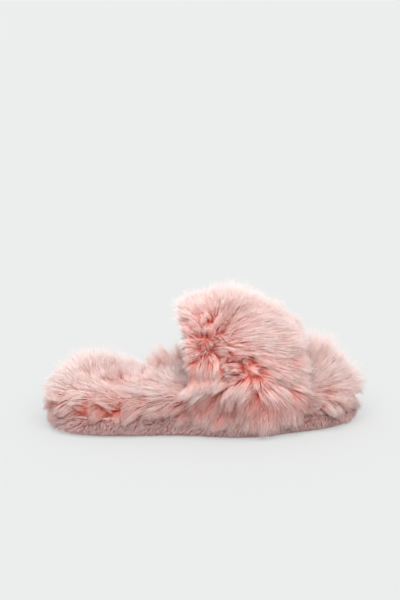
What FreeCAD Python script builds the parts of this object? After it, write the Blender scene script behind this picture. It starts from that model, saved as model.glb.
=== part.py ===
"""Open-heeled house slipper for the right foot, as an assembly of separate solids, in millimetres.

Frame: +X runs from the heel to the toe, +Y to the inner (big toe) side, +Z up.
The origin lies on the ground, halfway along the platform.

From the ground up: outsole, bottom filler, platform with its plush wrap, insole board and
foam cushion inside a furry cover, and one padded band that goes over the foot. The ends of
the band's layers are turned in between the platform and the cushion.

The pile of each furry fabric is part of that fabric, and its solid has the height at which
the pile lies together.
"""
import FreeCAD, Part
import math
import os

Vector = FreeCAD.Vector

# ---- plan of the platform
platform_length = 258.0
heel_half_width = 33.0
waist_outer = 36.5          # outer side of the foot, at the waist
waist_inner = 32.0          # inner side, under the arch
ball_outer = 44.5
ball_inner = 43.5
toe_half_width = 38.0       # where the round of the toe begins
toe_round = 53.0            # length of the round of the toe
toe_shift = 9.0             # the toe leans to the inner side by this much
waist_from_heel = 108.0
ball_from_heel = 172.0

# ---- heights of the layers, from the ground up
lug_height = 1.5
sole_plate = 2.0
filler_thickness = 1.0      # also the wrap's margin, which lies beside the filler
platform_thickness = 13.0
cover_margin_thickness = 1.0
board_thickness = 1.5
foam_thickness = 13.0
foam_edge_radius = 7.0
cover_pile_top = 16.0
cover_edge_radius = 17.0

# ---- widths at the edge of the sole; an inset is measured inwards from the platform's edge
outsole_inset = 1.0
wrap_pile = 5.0
wrap_hang = 2.5             # the wrap's pile hangs this far below its margin
margin_width = 12.0
board_inset = 3.0
cover_pile_side = 11.0      # from the cushion's edge outwards
cover_turn_in = 12.0        # width of the cover's margin under the board
pressed_cover = 2.0         # the cover between the cushion and the band
seam_gap = 0.8              # between the wrap and the cover, where the side seam's thread lies

# ---- band
band_rear = -7.0            # rear edge of the fabric at the base
band_front = 76.0
rear_lean = 3.5             # degrees; the rear edge leans back towards its top
band_height_rear = 98.0     # top of the foam above the ground
band_height_middle = 102.0
band_height_front = 80.0
arch_power = 2.5            # 2 is an ellipse, and more is squarer
lining_thickness = 2.5
band_foam_thickness = 3.0
band_pile = 14.0
band_overhang = 10.0        # the pile stands past the fabric's front and rear edges
lining_setback = 2.0        # from the fabric's edge
foam_setback = 6.0
tab_setback = 4.0
lining_tab = 1.0
outer_tab = 1.5
tab_reach = 13.0            # how far the tabs run in from the cushion's edge
skin = 1.0                  # the knitted backing of the band's fur
strip_trim = 0.2            # a turned-in end is this much thinner than the arch above it

# ---- tread
rim_width = 5.0
stud_radius = 3.4
stud_pitch = 10.5
panel_length = 58.0         # the smooth oval panel under the waist
panel_width = 34.0

# ---- thread
thread_radius = 0.3
stitch_length = 3.4
stitch_pitch = 4.6
band_seam_setback = 5.0
thread_clearance = 0.1

# ---- clearances
recess_clearance = 0.2      # round the band's turned-in ends, in the wrap that is pressed against them
recess_end_clearance = 0.3  # the same, at the two ends of the recess
rim_to_stud = 1.0
panel_to_stud = 2.0
seam_above_cover = 6.8      # the band's stitches start this far above the footbed's pile

# ---- how the solids are made
edge_round_share = 0.9      # the most of a plate's height that its edge's round may take
past_cut = 1.0              # a cutting solid passes the face it cuts by this much
loft_run_out = 4.0          # the spaces under the band run past its pile by this much
level_tolerance = 0.01
far_side = 200.0            # beyond every face, sideways

# ---- levels that follow from the sizes above
plate_top = lug_height + sole_plate
platform_bottom = plate_top + filler_thickness
platform_top = platform_bottom + platform_thickness
rebate_level = platform_top - cover_margin_thickness
lining_tab_bottom = rebate_level - lining_tab
tab_bottom = lining_tab_bottom - outer_tab
board_top = platform_top + board_thickness
foam_top = board_top + foam_thickness
cover_top = foam_top + cover_pile_top
wrap_top = rebate_level - seam_gap
wrap_bottom = plate_top - wrap_hang

# ---- insets of the band's layers, from the inside out
lining_inside = board_inset - pressed_cover
lining_outside = lining_inside - lining_thickness
band_foam_outside = lining_outside - band_foam_thickness
skin_outside = band_foam_outside - skin
pile_outside = band_foam_outside - band_pile
tab_inside = board_inset + tab_reach

OUTLINE_SAMPLES = 56
SECTION_POINTS = 15
STATIONS = 6


def sole_outline():
    """The platform's edge, as one closed smooth curve at Z 0."""
    heel = -platform_length / 2
    toe = platform_length / 2
    heel_centre = heel + heel_half_width
    toe_centre = toe - toe_round
    waist = heel + waist_from_heel
    ball = heel + ball_from_heel
    diagonal = math.sqrt(0.5)
    points = [
        (heel, 0),
        (heel_centre - heel_half_width * diagonal, -heel_half_width * diagonal),
        (heel_centre, -heel_half_width),
        (waist, -waist_outer),
        (ball, -ball_outer),
        (toe_centre, toe_shift - toe_half_width - toe_shift / 2),
        (toe_centre + toe_round * diagonal, toe_shift - toe_half_width * diagonal),
        (toe, toe_shift),
        (toe_centre + toe_round * diagonal, toe_shift + toe_half_width * diagonal),
        (toe_centre, toe_shift + toe_half_width),
        (ball, ball_inner),
        (waist, waist_inner),
        (heel_centre, heel_half_width),
        (heel_centre - heel_half_width * diagonal, heel_half_width * diagonal),
    ]
    curve = Part.BSplineCurve()
    curve.interpolate([Vector(x, y, 0) for x, y in points], True)
    return curve


BASE_CURVE = sole_outline()
BASE_LENGTH = BASE_CURVE.length()


def outline_points(inset, z, count=OUTLINE_SAMPLES):
    """Evenly spaced points of the platform's edge, moved inwards by inset."""
    points = []
    for i in range(count):
        t = BASE_CURVE.parameterAtDistance(BASE_LENGTH * i / count)
        along = BASE_CURVE.tangent(t)[0]
        inwards = Vector(-along.y, along.x, 0)
        point = BASE_CURVE.value(t) + inwards * inset
        points.append(Vector(point.x, point.y, z))
    return points


def plate(inset, low, high):
    """A flat plate with the outline of the sole."""
    curve = Part.BSplineCurve()
    curve.interpolate(outline_points(inset, low), True)
    return Part.Face(Part.Wire([curve.toShape()])).extrude(Vector(0, 0, high - low))


def ring(inner_inset, outer_inset, low, high):
    """What lies between two insets of the outline."""
    return plate(outer_inset, low, high).cut(plate(inner_inset, low - past_cut, high + past_cut))


def level_edges(solid, z):
    """The edges of a solid that lie wholly at one height."""
    near = level_tolerance
    return [e for e in solid.Edges if abs(e.BoundBox.ZMin - z) < near and abs(e.BoundBox.ZMax - z) < near]


def cushion(inset, low, high, radius):
    """A plate whose upper edge is rounded."""
    solid = plate(inset, low, high)
    return solid.makeFillet(min(radius, edge_round_share * (high - low)), level_edges(solid, high))


def half_width(x, side, inset):
    """Distance from the long axis to the edge at x, on side +1 (inner) or -1 (outer)."""
    points = outline_points(inset, 0, 4 * OUTLINE_SAMPLES)
    best = 0.0
    for a, b in zip(points, points[1:] + points[:1]):
        if (a.x - x) * (b.x - x) <= 0 and a.x != b.x and (a.y + b.y) * side > 0:
            best = side * (a.y + (b.y - a.y) * (x - a.x) / (b.x - a.x))
    return best


def band_crown(share):
    """Height of the top of the band's foam, from its rear edge at 0 to its front edge at 1."""
    curve = 2 * (band_height_rear - 2 * band_height_middle + band_height_front)
    slope = band_height_front - band_height_rear - curve
    return band_height_rear + slope * share + curve * share * share


def band_section(share, inset, bottom):
    """Closed cross-section of the space under one surface of the band."""
    x = band_rear + (band_front - band_rear) * share
    lean = math.radians(rear_lean) * max(0.0, 1 - share)
    grow = band_foam_outside - inset
    rise = band_crown(share) + grow - rebate_level
    inner, outer = half_width(x, 1, inset), half_width(x, -1, inset)
    points = []
    for i in range(SECTION_POINTS):
        turn = math.pi * i / (SECTION_POINTS - 1)
        across = abs(math.cos(turn)) ** (2 / arch_power)
        up = rise * math.sin(turn) ** (2 / arch_power) if 0 < i < SECTION_POINTS - 1 else 0.0
        y = inner * across if turn < math.pi / 2 else -outer * across
        points.append(Vector(x - up * math.tan(lean), y, rebate_level + up))
    arch = Part.BSplineCurve()
    arch.interpolate(Points=points, Parameters=[i / (SECTION_POINTS - 1) for i in range(SECTION_POINTS)])
    first, last = points[0], points[-1]
    low_x = x + (rebate_level - bottom) * math.tan(lean)
    low_first = Vector(low_x, first.y, bottom)
    low_last = Vector(low_x, last.y, bottom)
    return Part.Wire([
        arch.toShape(),
        Part.makeLine(last, low_last),
        Part.makeLine(low_last, low_first),
        Part.makeLine(low_first, first),
    ])


def under_band(inset):
    """Everything under one surface of the band, from just behind it to just in front."""
    past = (band_overhang + loft_run_out) / (band_front - band_rear)
    shares = [-past + (1 + 2 * past) * i / (STATIONS - 1) for i in range(STATIONS)]
    sections = [band_section(s, inset, tab_bottom - 2 * past_cut) for s in shares]
    return Part.makeLoft(sections, True, False)


def band_slice(setback, low, high):
    """The part of space between the band's rear and front edges, taken in by setback."""
    lean = math.tan(math.radians(rear_lean))
    rear, front = band_rear + setback, band_front - setback
    corners = [
        Vector(rear - (low - rebate_level) * lean, -far_side, low),
        Vector(front, -far_side, low),
        Vector(front, -far_side, high),
        Vector(rear - (high - rebate_level) * lean, -far_side, high),
    ]
    return Part.Face(Part.makePolygon(corners + corners[:1])).extrude(Vector(0, 2 * far_side, 0))


def stitch(a, b):
    """One straight stitch of thread from a to b."""
    along = b - a
    return Part.makeCylinder(thread_radius, along.Length, a, along)


def make_outsole():
    """The rubber plate, with a rim, round studs and a smooth oval panel on its underside."""
    solid = plate(outsole_inset, lug_height, plate_top)
    studs = [ring(outsole_inset + rim_width, outsole_inset, 0, lug_height)]
    panel = Part.makeCylinder(panel_width / 2, lug_height)
    stretch = FreeCAD.Matrix()
    stretch.scale(Vector(panel_length / panel_width, 1, 1))
    studs.append(panel.transformGeometry(stretch))
    room = plate(outsole_inset + rim_width + stud_radius + rim_to_stud, 0, lug_height).Faces
    floor = min(room, key=lambda f: f.CenterOfMass.z)
    rows = int(platform_length / stud_pitch)
    for i in range(-rows, rows + 1):
        for j in range(-rows, rows + 1):
            x = stud_pitch * (i + 0.5 * (j % 2))
            y = stud_pitch * math.sqrt(0.75) * j
            clear = stud_radius + panel_to_stud
            near_panel = math.hypot(x / (panel_length / 2 + clear), y / (panel_width / 2 + clear))
            if near_panel > 1 and floor.isInside(Vector(x, y, 0), level_tolerance, True):
                studs.append(Part.makeCylinder(stud_radius, lug_height, Vector(x, y, 0)))
    return solid.multiFuse(studs).removeSplitter()


def make_band():
    """The band's lining, foam and outer fur, nested with no overlap."""
    top = band_height_middle + band_height_rear
    opening = under_band(lining_inside)
    under_lining_face = under_band(lining_outside)
    lined = under_lining_face.common(band_slice(lining_setback, rebate_level, top))
    padded = under_band(band_foam_outside).common(band_slice(foam_setback, rebate_level, top))
    lining_tabs = ring(tab_inside, lining_outside + strip_trim, lining_tab_bottom, rebate_level)
    lining = lined.cut(opening).fuse(
        lining_tabs.common(band_slice(lining_setback, lining_tab_bottom, rebate_level))
    )
    foam = padded.cut(under_lining_face)
    fur = under_band(pile_outside).cut(opening).common(band_slice(-band_overhang, rebate_level, top))
    fur = fur.cut(padded).cut(lined)
    strips = ring(band_foam_outside - strip_trim, skin_outside, tab_bottom, rebate_level)
    tabs = ring(tab_inside, skin_outside, tab_bottom, lining_tab_bottom)
    turned = strips.fuse(tabs).common(band_slice(tab_setback, tab_bottom, rebate_level))
    return lining, foam, fur.fuse(turned)


def tab_rebate():
    """The room that the band's turned-in ends take up, out past the platform's edge."""
    past = pile_outside - past_cut
    upper = ring(tab_inside, past, lining_tab_bottom, rebate_level + past_cut)
    lower = ring(tab_inside, past, tab_bottom, lining_tab_bottom)
    return [
        upper.common(band_slice(lining_setback, lining_tab_bottom, rebate_level + past_cut)),
        lower.common(band_slice(tab_setback, tab_bottom, lining_tab_bottom)),
    ]


def make_wrap():
    """The plush strip round the platform, with its margin turned in underneath."""
    wall = ring(0, -wrap_pile, wrap_bottom, wrap_top)
    margin = ring(margin_width, 0, plate_top, platform_bottom)
    low, high = tab_bottom - recess_clearance, wrap_top + past_cut
    recess = plate(skin_outside - recess_clearance, low, high)
    recess = recess.common(band_slice(tab_setback - recess_end_clearance, low, high))
    return wall.cut(plate(0, platform_bottom, high)).fuse(margin).cut(recess).removeSplitter()


def make_platform():
    """The foam platform, with a rebate for the band's turned-in ends and one for the cover's margin."""
    body = plate(0, platform_bottom, rebate_level)
    for rebate in tab_rebate():
        body = body.cut(rebate)
    return body.fuse(plate(board_inset + cover_turn_in, rebate_level, platform_top))


def make_cover(board, foam):
    """The footbed's furry cover, which goes round the cushion and the board and under the band."""
    outside = cushion(board_inset - cover_pile_side, rebate_level, cover_top, cover_edge_radius)
    inside = plate(board_inset + cover_turn_in, rebate_level - past_cut, platform_top)
    band = under_band(pile_outside - past_cut).cut(under_band(lining_inside))
    band = band.common(band_slice(-band_overhang, tab_bottom, cover_top + past_cut))
    solid = outside.cut(band).cut(inside).cut(board).cut(foam)
    return max(solid.Solids, key=lambda s: s.Volume)


def make_side_seam():
    """The thread that joins the wrap and the cover all round, except under the band."""
    level = wrap_top + seam_gap / 2
    count = int(BASE_LENGTH / stitch_pitch)
    points = outline_points(-wrap_pile / 2, level, 4 * count)
    clear = stitch_pitch + band_overhang
    stitches = []
    for i in range(count):
        a, middle = points[4 * i], points[4 * i + 1]
        b = a + (points[(4 * i + 3) % len(points)] - a).normalize() * stitch_length
        if not band_rear - clear < middle.x < band_front + clear:
            stitches.append(stitch(a, b))
    return Part.makeCompound(stitches)


def make_band_seam(x):
    """A row of stitches over the arch, just inside the lining."""
    share = (x - band_rear) / (band_front - band_rear)
    inset = lining_inside + thread_radius + thread_clearance
    arch = band_section(share, inset, tab_bottom).Edges[0]
    count = int(arch.Length / stitch_pitch)
    low = cover_top + seam_above_cover
    stitches = []
    for i in range(count):
        start = arch.valueAt(arch.getParameterByLength(stitch_pitch * i))
        end = arch.valueAt(arch.getParameterByLength(stitch_pitch * i + stitch_length))
        if min(start.z, end.z) > low:
            stitches.append(stitch(start, end))
    return Part.makeCompound(stitches)


def make_wrap_seam():
    """The stitches that close the wrap at the back of the heel."""
    x = -platform_length / 2 - wrap_pile - thread_radius - thread_clearance
    stitches = []
    level = wrap_bottom + stitch_pitch / 4
    while level + stitch_length < wrap_top:
        stitches.append(stitch(Vector(x, 0, level), Vector(x, 0, level + stitch_length)))
        level += stitch_pitch
    return Part.makeCompound(stitches)


def make_all():
    """Every node's shape, by its name."""
    lining, band_foam, outer = make_band()
    board = plate(board_inset, platform_top, board_top)
    foam = cushion(board_inset, board_top, foam_top, foam_edge_radius)
    return {
        "outsole": make_outsole(),
        "bottom_filler": plate(margin_width, plate_top, platform_bottom),
        "platform_wrap": make_wrap(),
        "platform": make_platform(),
        "insole_board": board,
        "footbed_foam": foam,
        "footbed_cover": make_cover(board, foam),
        "band_lining": lining,
        "band_foam": band_foam,
        "band_outer": outer,
        "side_seam": make_side_seam(),
        "band_rear_seam": make_band_seam(band_rear + band_seam_setback),
        "band_front_seam": make_band_seam(band_front - band_seam_setback),
        "wrap_back_seam": make_wrap_seam(),
    }


def main():
    """Writes one STEP file for each node."""
    os.makedirs("parts", exist_ok=True)
    for name, shape in make_all().items():
        if not shape.isValid():
            raise ValueError(f"{name} isn't a valid shape")
        shape.exportStep(f"parts/{name}.step")
        print(f"{name}: {len(shape.Solids)} solids, {shape.Volume / 1000:.1f} cm3")


main()
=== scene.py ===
"""Looks of a fluffy house slipper: fur coats over sewn backings, padding, plush, thread and rubber."""

import logging
import math
from dataclasses import dataclass, field
from enum import Enum

import bpy
import numpy as np
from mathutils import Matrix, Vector

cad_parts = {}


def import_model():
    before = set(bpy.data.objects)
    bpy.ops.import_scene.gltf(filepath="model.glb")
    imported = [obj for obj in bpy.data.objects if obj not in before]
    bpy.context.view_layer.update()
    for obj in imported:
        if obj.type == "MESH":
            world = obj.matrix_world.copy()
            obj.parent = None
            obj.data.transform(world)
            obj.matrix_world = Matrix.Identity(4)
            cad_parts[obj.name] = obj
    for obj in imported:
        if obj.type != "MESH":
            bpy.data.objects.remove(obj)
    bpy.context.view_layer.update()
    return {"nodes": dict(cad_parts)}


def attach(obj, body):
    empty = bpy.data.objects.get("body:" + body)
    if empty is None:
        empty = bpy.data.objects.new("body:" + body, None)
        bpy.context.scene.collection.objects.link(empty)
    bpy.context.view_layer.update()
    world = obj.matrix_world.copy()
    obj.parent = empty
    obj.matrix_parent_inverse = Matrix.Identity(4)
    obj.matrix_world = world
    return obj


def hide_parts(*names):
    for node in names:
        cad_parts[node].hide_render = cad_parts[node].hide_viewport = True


LOG = logging.getLogger("slipper")
MM = 0.001
FLOOR_GAP = 0.6 * MM        # hair that would pass the floor lies this far above it
FLOOR_PRESS = 0.1           # and this share of how far it would have passed comes on top
SAME_POINT = 1e-5           # metres; points of the sole's edge that are closer than this are one
BODY = "root"
UV_MAP = "OFBake"
Array = np.ndarray
Rgb = tuple[float, float, float]


# ---------------------------------------------------------------- small numeric tools


def ramp(value: Array, low: float, high: float) -> Array:
    """Smooth step from 0 at low to 1 at high.

    Args:
        value: numbers to step.
        low: where the step leaves 0.
        high: where it reaches 1.

    Returns:
        The stepped numbers.
    """
    t = np.clip((np.asarray(value, float) - low) / (high - low), 0.0, 1.0)
    return t * t * (3.0 - 2.0 * t)


def steps(value: Array, start: float, *rows: tuple[float, float, float]) -> Array:
    """A level that goes up or down in smooth steps.

    Args:
        value: the numbers along which it goes.
        start: the level before the first step.
        rows: where each step begins and ends, and how much it adds.

    Returns:
        The level for each number.
    """
    level = np.full(np.shape(value), float(start))
    for low, high, change in rows:
        level = level + change * ramp(value, low, high)
    return level


def spots(places: Array, marks: tuple[tuple[float, ...], ...]) -> Array:
    """Soft round spots, 1 in the middle of each and falling to 0 round it.

    Args:
        places: rows of places, in millimetres.
        marks: the middle and the reach of each spot.

    Returns:
        A number for each place.
    """
    return sum(np.exp(-np.sum((places - mark[:-1]) ** 2, axis=1) / mark[-1] ** 2) for mark in marks)


def unit(vectors: Array) -> Array:
    """Vectors of length 1 in the same directions.

    Args:
        vectors: rows of vectors.

    Returns:
        The same rows, each of length 1.
    """
    length = np.linalg.norm(vectors, axis=-1, keepdims=True)
    return vectors / np.maximum(length, 1e-12)


def wander(points: Array, wavelength: float, seed: int, waves: int = 14) -> Array:
    """Smooth noise vectors, one for each point, about 1 long at most.

    Args:
        points: rows of places, in metres.
        wavelength: the typical size of the noise's waves, in metres.
        seed: the random seed.
        waves: how many sine waves are added.

    Returns:
        Rows of noise vectors.
    """
    rng = np.random.default_rng(seed)
    total = np.zeros((len(points), 3))
    for _ in range(waves):
        direction = unit(rng.normal(size=3)) * rng.uniform(0.6, 1.5) / wavelength
        amplitude = rng.normal(size=3)
        total += np.sin(2 * math.pi * (points @ direction) + rng.uniform(0, 2 * math.pi))[:, None] * amplitude
    return total / math.sqrt(waves)


# ---------------------------------------------------------------- meshes


@dataclass
class Form:
    """A closed mesh before it is a Blender object: its points, its faces and its fields."""

    points: Array
    faces: list[tuple[int, ...]]
    fields: dict[str, Array] = field(default_factory=dict)

    def normals(self) -> Array:
        """Outward normal at each point, weighted by the area of the faces round it.

        Returns:
            Rows of unit normals.
        """
        total = np.zeros_like(self.points)
        for size in {len(f) for f in self.faces}:
            index = np.array([f for f in self.faces if len(f) == size])
            corners = self.points[index]
            area = np.zeros((len(index), 3))
            for k in range(size):
                area += np.cross(corners[:, k], corners[:, (k + 1) % size])
            for k in range(size):
                np.add.at(total, index[:, k], area)
        return unit(total)

    def to_object(self, name: str) -> bpy.types.Object:
        """Makes the Blender object, linked to the scene, with its fields as point attributes.

        Args:
            name: the object's name.

        Returns:
            The new object.
        """
        mesh = bpy.data.meshes.new(name)
        mesh.from_pydata(self.points.tolist(), [], self.faces)
        mesh.polygons.foreach_set("use_smooth", [True] * len(mesh.polygons))
        for key, values in self.fields.items():
            kind, value = ("FLOAT_VECTOR", "vector") if values.ndim == 2 else ("FLOAT", "value")
            layer = mesh.attributes.new(key, kind, "POINT")
            layer.data.foreach_set(value, values.astype(np.float32).ravel())
        mesh.validate()
        made = bpy.data.objects.new(name, mesh)
        bpy.context.scene.collection.objects.link(made)
        return made


def lofted(rings: Array, closed_profile: bool) -> list[tuple[int, ...]]:
    """Quads between rings that are stacked in order, each ring closed on itself.

    Args:
        rings: array of rings by points by 3.
        closed_profile: whether the last ring joins the first.

    Returns:
        The faces, as rows of point numbers.
    """
    count, around = rings.shape[:2]
    faces = []
    for k in range(count if closed_profile else count - 1):
        below, above = k * around, (k + 1) % count * around
        for i in range(around):
            j = (i + 1) % around
            faces.append((below + i, below + j, above + j, above + i))
    return faces


def zipped(start: int, around: int, flip: bool) -> list[tuple[int, ...]]:
    """Faces that close a long thin ring by joining each point to the one opposite.

    Args:
        start: number of the ring's first point, which lies at one tip.
        around: how many points the ring has, an even number.
        flip: whether the faces point the other way.

    Returns:
        The faces.
    """
    half = around // 2
    faces: list[tuple[int, ...]] = []
    for i in range(half):
        a, b = start + i, start + i + 1
        c, d = start + (around - i - 1) % around, start + (around - i) % around
        corners = tuple(dict.fromkeys((a, b, c, d)))
        if len(corners) > 2:
            faces.append(corners[::-1] if flip else corners)
    return faces


class SolePlan:
    """The plan of the sole, read from the insole board's solid."""

    AXIS_SHARE = 0.72       # the axis that rings are drawn in to spans this share of the sole

    def __init__(self, board: bpy.types.Object, samples: int = 240) -> None:
        """Reads the board's edge.

        Args:
            board: the CAD node of the insole board.
            samples: how many evenly spaced points the edge gets.
        """
        points = np.array([v.co[:] for v in board.data.vertices])
        flat = points[points[:, 2] > points[:, 2].mean()][:, :2]
        angle = np.arctan2(flat[:, 1], flat[:, 0])
        order = np.argsort(angle)
        flat = flat[order]
        apart = np.linalg.norm(flat - np.roll(flat, 1, axis=0), axis=1) > SAME_POINT
        self.edge = self._even(flat[apart], samples)
        self.out = self._outward(self.edge)

    @staticmethod
    def _even(loop: Array, samples: int) -> Array:
        """Evenly spaced points along a closed loop, which starts at the toe.

        Args:
            loop: the loop's points.
            samples: how many points to give.

        Returns:
            The points.
        """
        loop = np.roll(loop, -int(np.argmax(loop[:, 0])), axis=0)
        closed = np.vstack([loop, loop[:1]])
        run = np.concatenate([[0], np.cumsum(np.linalg.norm(np.diff(closed, axis=0), axis=1))])
        at = np.linspace(0, run[-1], samples, endpoint=False)
        return np.stack([np.interp(at, run, closed[:, k]) for k in (0, 1)], axis=1)

    @staticmethod
    def _outward(loop: Array) -> Array:
        """Outward directions along an anticlockwise loop.

        Args:
            loop: the loop's points.

        Returns:
            A unit vector for each point.
        """
        along = unit(np.roll(loop, -2, axis=0) - np.roll(loop, 2, axis=0))
        return np.stack([along[:, 1], -along[:, 0]], axis=1)

    def ring(self, offset: float, height: float) -> Array:
        """The edge moved outwards, at one height.

        Args:
            offset: how far outwards, in metres.
            height: Z, in metres.

        Returns:
            The ring's points.
        """
        flat = self.edge + self.out * offset
        return np.column_stack([flat, np.full(len(flat), height)])

    def shrunk(self, offset: float, share: float, height: float) -> Array:
        """A ring drawn in towards the sole's long axis.

        Args:
            offset: where the ring starts from, in metres outwards.
            share: 1 keeps the ring and 0 is the axis itself.
            height: Z, in metres.

        Returns:
            The ring's points.
        """
        ring = self.ring(offset, height)
        axis = np.column_stack([ring[:, 0] * self.AXIS_SHARE, np.zeros(len(ring)), ring[:, 2]])
        return axis + (ring - axis) * share

    def half_width(self, x: Array, side: int, offset: float) -> Array:
        """Distance from the long axis to the moved edge.

        Args:
            x: places along the sole, in metres.
            side: 1 for the inner side of the foot, -1 for the outer.
            offset: how far outwards, in metres.

        Returns:
            The distances.
        """
        flat = self.edge + self.out * offset
        chosen = flat[flat[:, 1] * side > 0]
        chosen = chosen[np.argsort(chosen[:, 0])]
        return np.abs(np.interp(x, chosen[:, 0], chosen[:, 1]))


# ---------------------------------------------------------------- finishes


def shader(name: str) -> tuple[bpy.types.Material, bpy.types.NodeTree, bpy.types.Node]:
    """A new material with one principled shader.

    Args:
        name: the material's name.

    Returns:
        The material, its tree and the shader node.
    """
    made = bpy.data.materials.new(name)
    made.use_nodes = True
    tree = made.node_tree
    return made, tree, tree.nodes["Principled BSDF"]


def colour_ramp(tree: bpy.types.NodeTree, stops: list[tuple[float, Rgb]]) -> bpy.types.Node:
    """A colour ramp node with these stops.

    Args:
        tree: the material's tree.
        stops: places from 0 to 1 and their colours.

    Returns:
        The node.
    """
    node = tree.nodes.new("ShaderNodeValToRGB")
    elements = node.color_ramp.elements
    while len(elements) > 1:
        elements.remove(elements[-1])
    for i, (place, colour) in enumerate(stops):
        element = elements[0] if i == 0 else elements.new(place)
        element.position = place
        element.color = (*colour, 1.0)
    return node


@dataclass(frozen=True)
class FurFinish:
    """Dyed pile: a strong colour at the root that goes to pale at the tip, in pale and in darker hairs; the
    root colour is partly the pile's own and partly painted warm shade deep in the pile, and the darker ramp
    is mixed in at random and as painted shade low on the sides.
    """

    name: str
    # the strong root colour is partly painted warm shade deep in the pile
    root: Rgb = (0.99, 0.22, 0.13)
    pale_middle: Rgb = (0.96, 0.72, 0.67)
    pale_tip: Rgb = (0.87, 0.79, 0.77)
    dusky_and_shade_middle: Rgb = (0.90, 0.41, 0.35)
    dusky_and_shade_tip: Rgb = (0.84, 0.61, 0.57)
    root_to: float = 0.16
    middle_at: float = 0.46
    roughness: float = 0.7
    sheen: float = 0.15
    sheen_roughness: float = 0.5
    specular: float = 0.25
    see_through: float = 0.34

    def material(self) -> bpy.types.Material:
        """Builds the material, which reads only the strand's own map: U is the hair's tone, which carries
        painted shade, and V runs up it.

        Returns:
            The material.
        """
        made, tree, surface = shader(self.name)
        place = tree.nodes.new("ShaderNodeUVMap")
        place.uv_map = UV_MAP
        split = tree.nodes.new("ShaderNodeSeparateXYZ")
        tree.links.new(place.outputs["UV"], split.inputs[0])
        # the second, darker ramp is mixed in by the tone: at random, and as painted shade low on the sides
        pale, dusky_and_shade = (
            colour_ramp(tree, [(self.root_to, self.root), (self.middle_at, middle), (1.0, tip)])
            for middle, tip in ((self.pale_middle, self.pale_tip), (self.dusky_and_shade_middle, self.dusky_and_shade_tip))
        )
        mix = tree.nodes.new("ShaderNodeMix")
        mix.data_type = "RGBA"
        for node in (pale, dusky_and_shade):
            tree.links.new(split.outputs["Y"], node.inputs["Fac"])
        tree.links.new(split.outputs["X"], mix.inputs["Factor"])
        tree.links.new(pale.outputs["Color"], mix.inputs["A"])
        tree.links.new(dusky_and_shade.outputs["Color"], mix.inputs["B"])
        tree.links.new(mix.outputs["Result"], surface.inputs["Base Color"])
        surface.inputs["Roughness"].default_value = self.roughness
        surface.inputs["Sheen Weight"].default_value = self.sheen
        surface.inputs["Sheen Roughness"].default_value = self.sheen_roughness
        surface.inputs["Specular IOR Level"].default_value = self.specular
        glow = tree.nodes.new("ShaderNodeBsdfTranslucent")
        both = tree.nodes.new("ShaderNodeMixShader")
        both.inputs["Fac"].default_value = self.see_through
        tree.links.new(mix.outputs["Result"], glow.inputs["Color"])
        tree.links.new(surface.outputs["BSDF"], both.inputs[1])
        tree.links.new(glow.outputs["BSDF"], both.inputs[2])
        tree.links.new(both.outputs["Shader"], tree.nodes["Material Output"].inputs["Surface"])
        return made


class Grain(Enum):
    """The small relief of a plain finish."""

    KNIT = "knit"
    PORES = "pores"
    FIBRES = "fibres"
    TWIST = "twist"


KNIT_SIZE = 1.2 * MM        # the loops of the knitted backing cloths


@dataclass(frozen=True)
class PlainFinish:
    """Rubber, foam, board, cloth or thread: two close colours, mottled, with a fine relief."""

    name: str
    light: Rgb
    dark: Rgb
    grain: Grain
    size: float
    roughness: float = 0.8
    relief: float = 0.3
    wave_scale: float = 0.3
    wave_distortion: float = 2.0
    detail: float = 6.0
    dark_to: float = 0.15
    light_from: float = 0.85

    def material(self) -> bpy.types.Material:
        """Builds the material on Object coordinates.

        Returns:
            The material.
        """
        made, tree, surface = shader(self.name)
        place = tree.nodes.new("ShaderNodeTexCoord")
        if self.grain is Grain.PORES:
            pattern = tree.nodes.new("ShaderNodeTexVoronoi")
            pattern.inputs["Scale"].default_value = 1.0 / self.size
            value = pattern.outputs["Distance"]
        elif self.grain in (Grain.KNIT, Grain.TWIST):
            pattern = tree.nodes.new("ShaderNodeTexWave")
            pattern.inputs["Scale"].default_value = self.wave_scale / self.size
            pattern.inputs["Distortion"].default_value = self.wave_distortion
            pattern.bands_direction = "DIAGONAL" if self.grain is Grain.TWIST else "X"
            value = pattern.outputs["Fac"]
        else:
            pattern = tree.nodes.new("ShaderNodeTexNoise")
            pattern.inputs["Scale"].default_value = 1.0 / self.size
            pattern.inputs["Detail"].default_value = self.detail
            value = pattern.outputs["Fac"]
        tree.links.new(place.outputs["Object"], pattern.inputs["Vector"])
        colours = colour_ramp(tree, [(self.dark_to, self.dark), (self.light_from, self.light)])
        bump = tree.nodes.new("ShaderNodeBump")
        bump.inputs["Strength"].default_value = self.relief
        bump.inputs["Distance"].default_value = self.size
        tree.links.new(value, colours.inputs["Fac"])
        tree.links.new(value, bump.inputs["Height"])
        tree.links.new(colours.outputs["Color"], surface.inputs["Base Color"])
        tree.links.new(bump.outputs["Normal"], surface.inputs["Normal"])
        surface.inputs["Roughness"].default_value = self.roughness
        return made


# ---------------------------------------------------------------- fur


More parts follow.
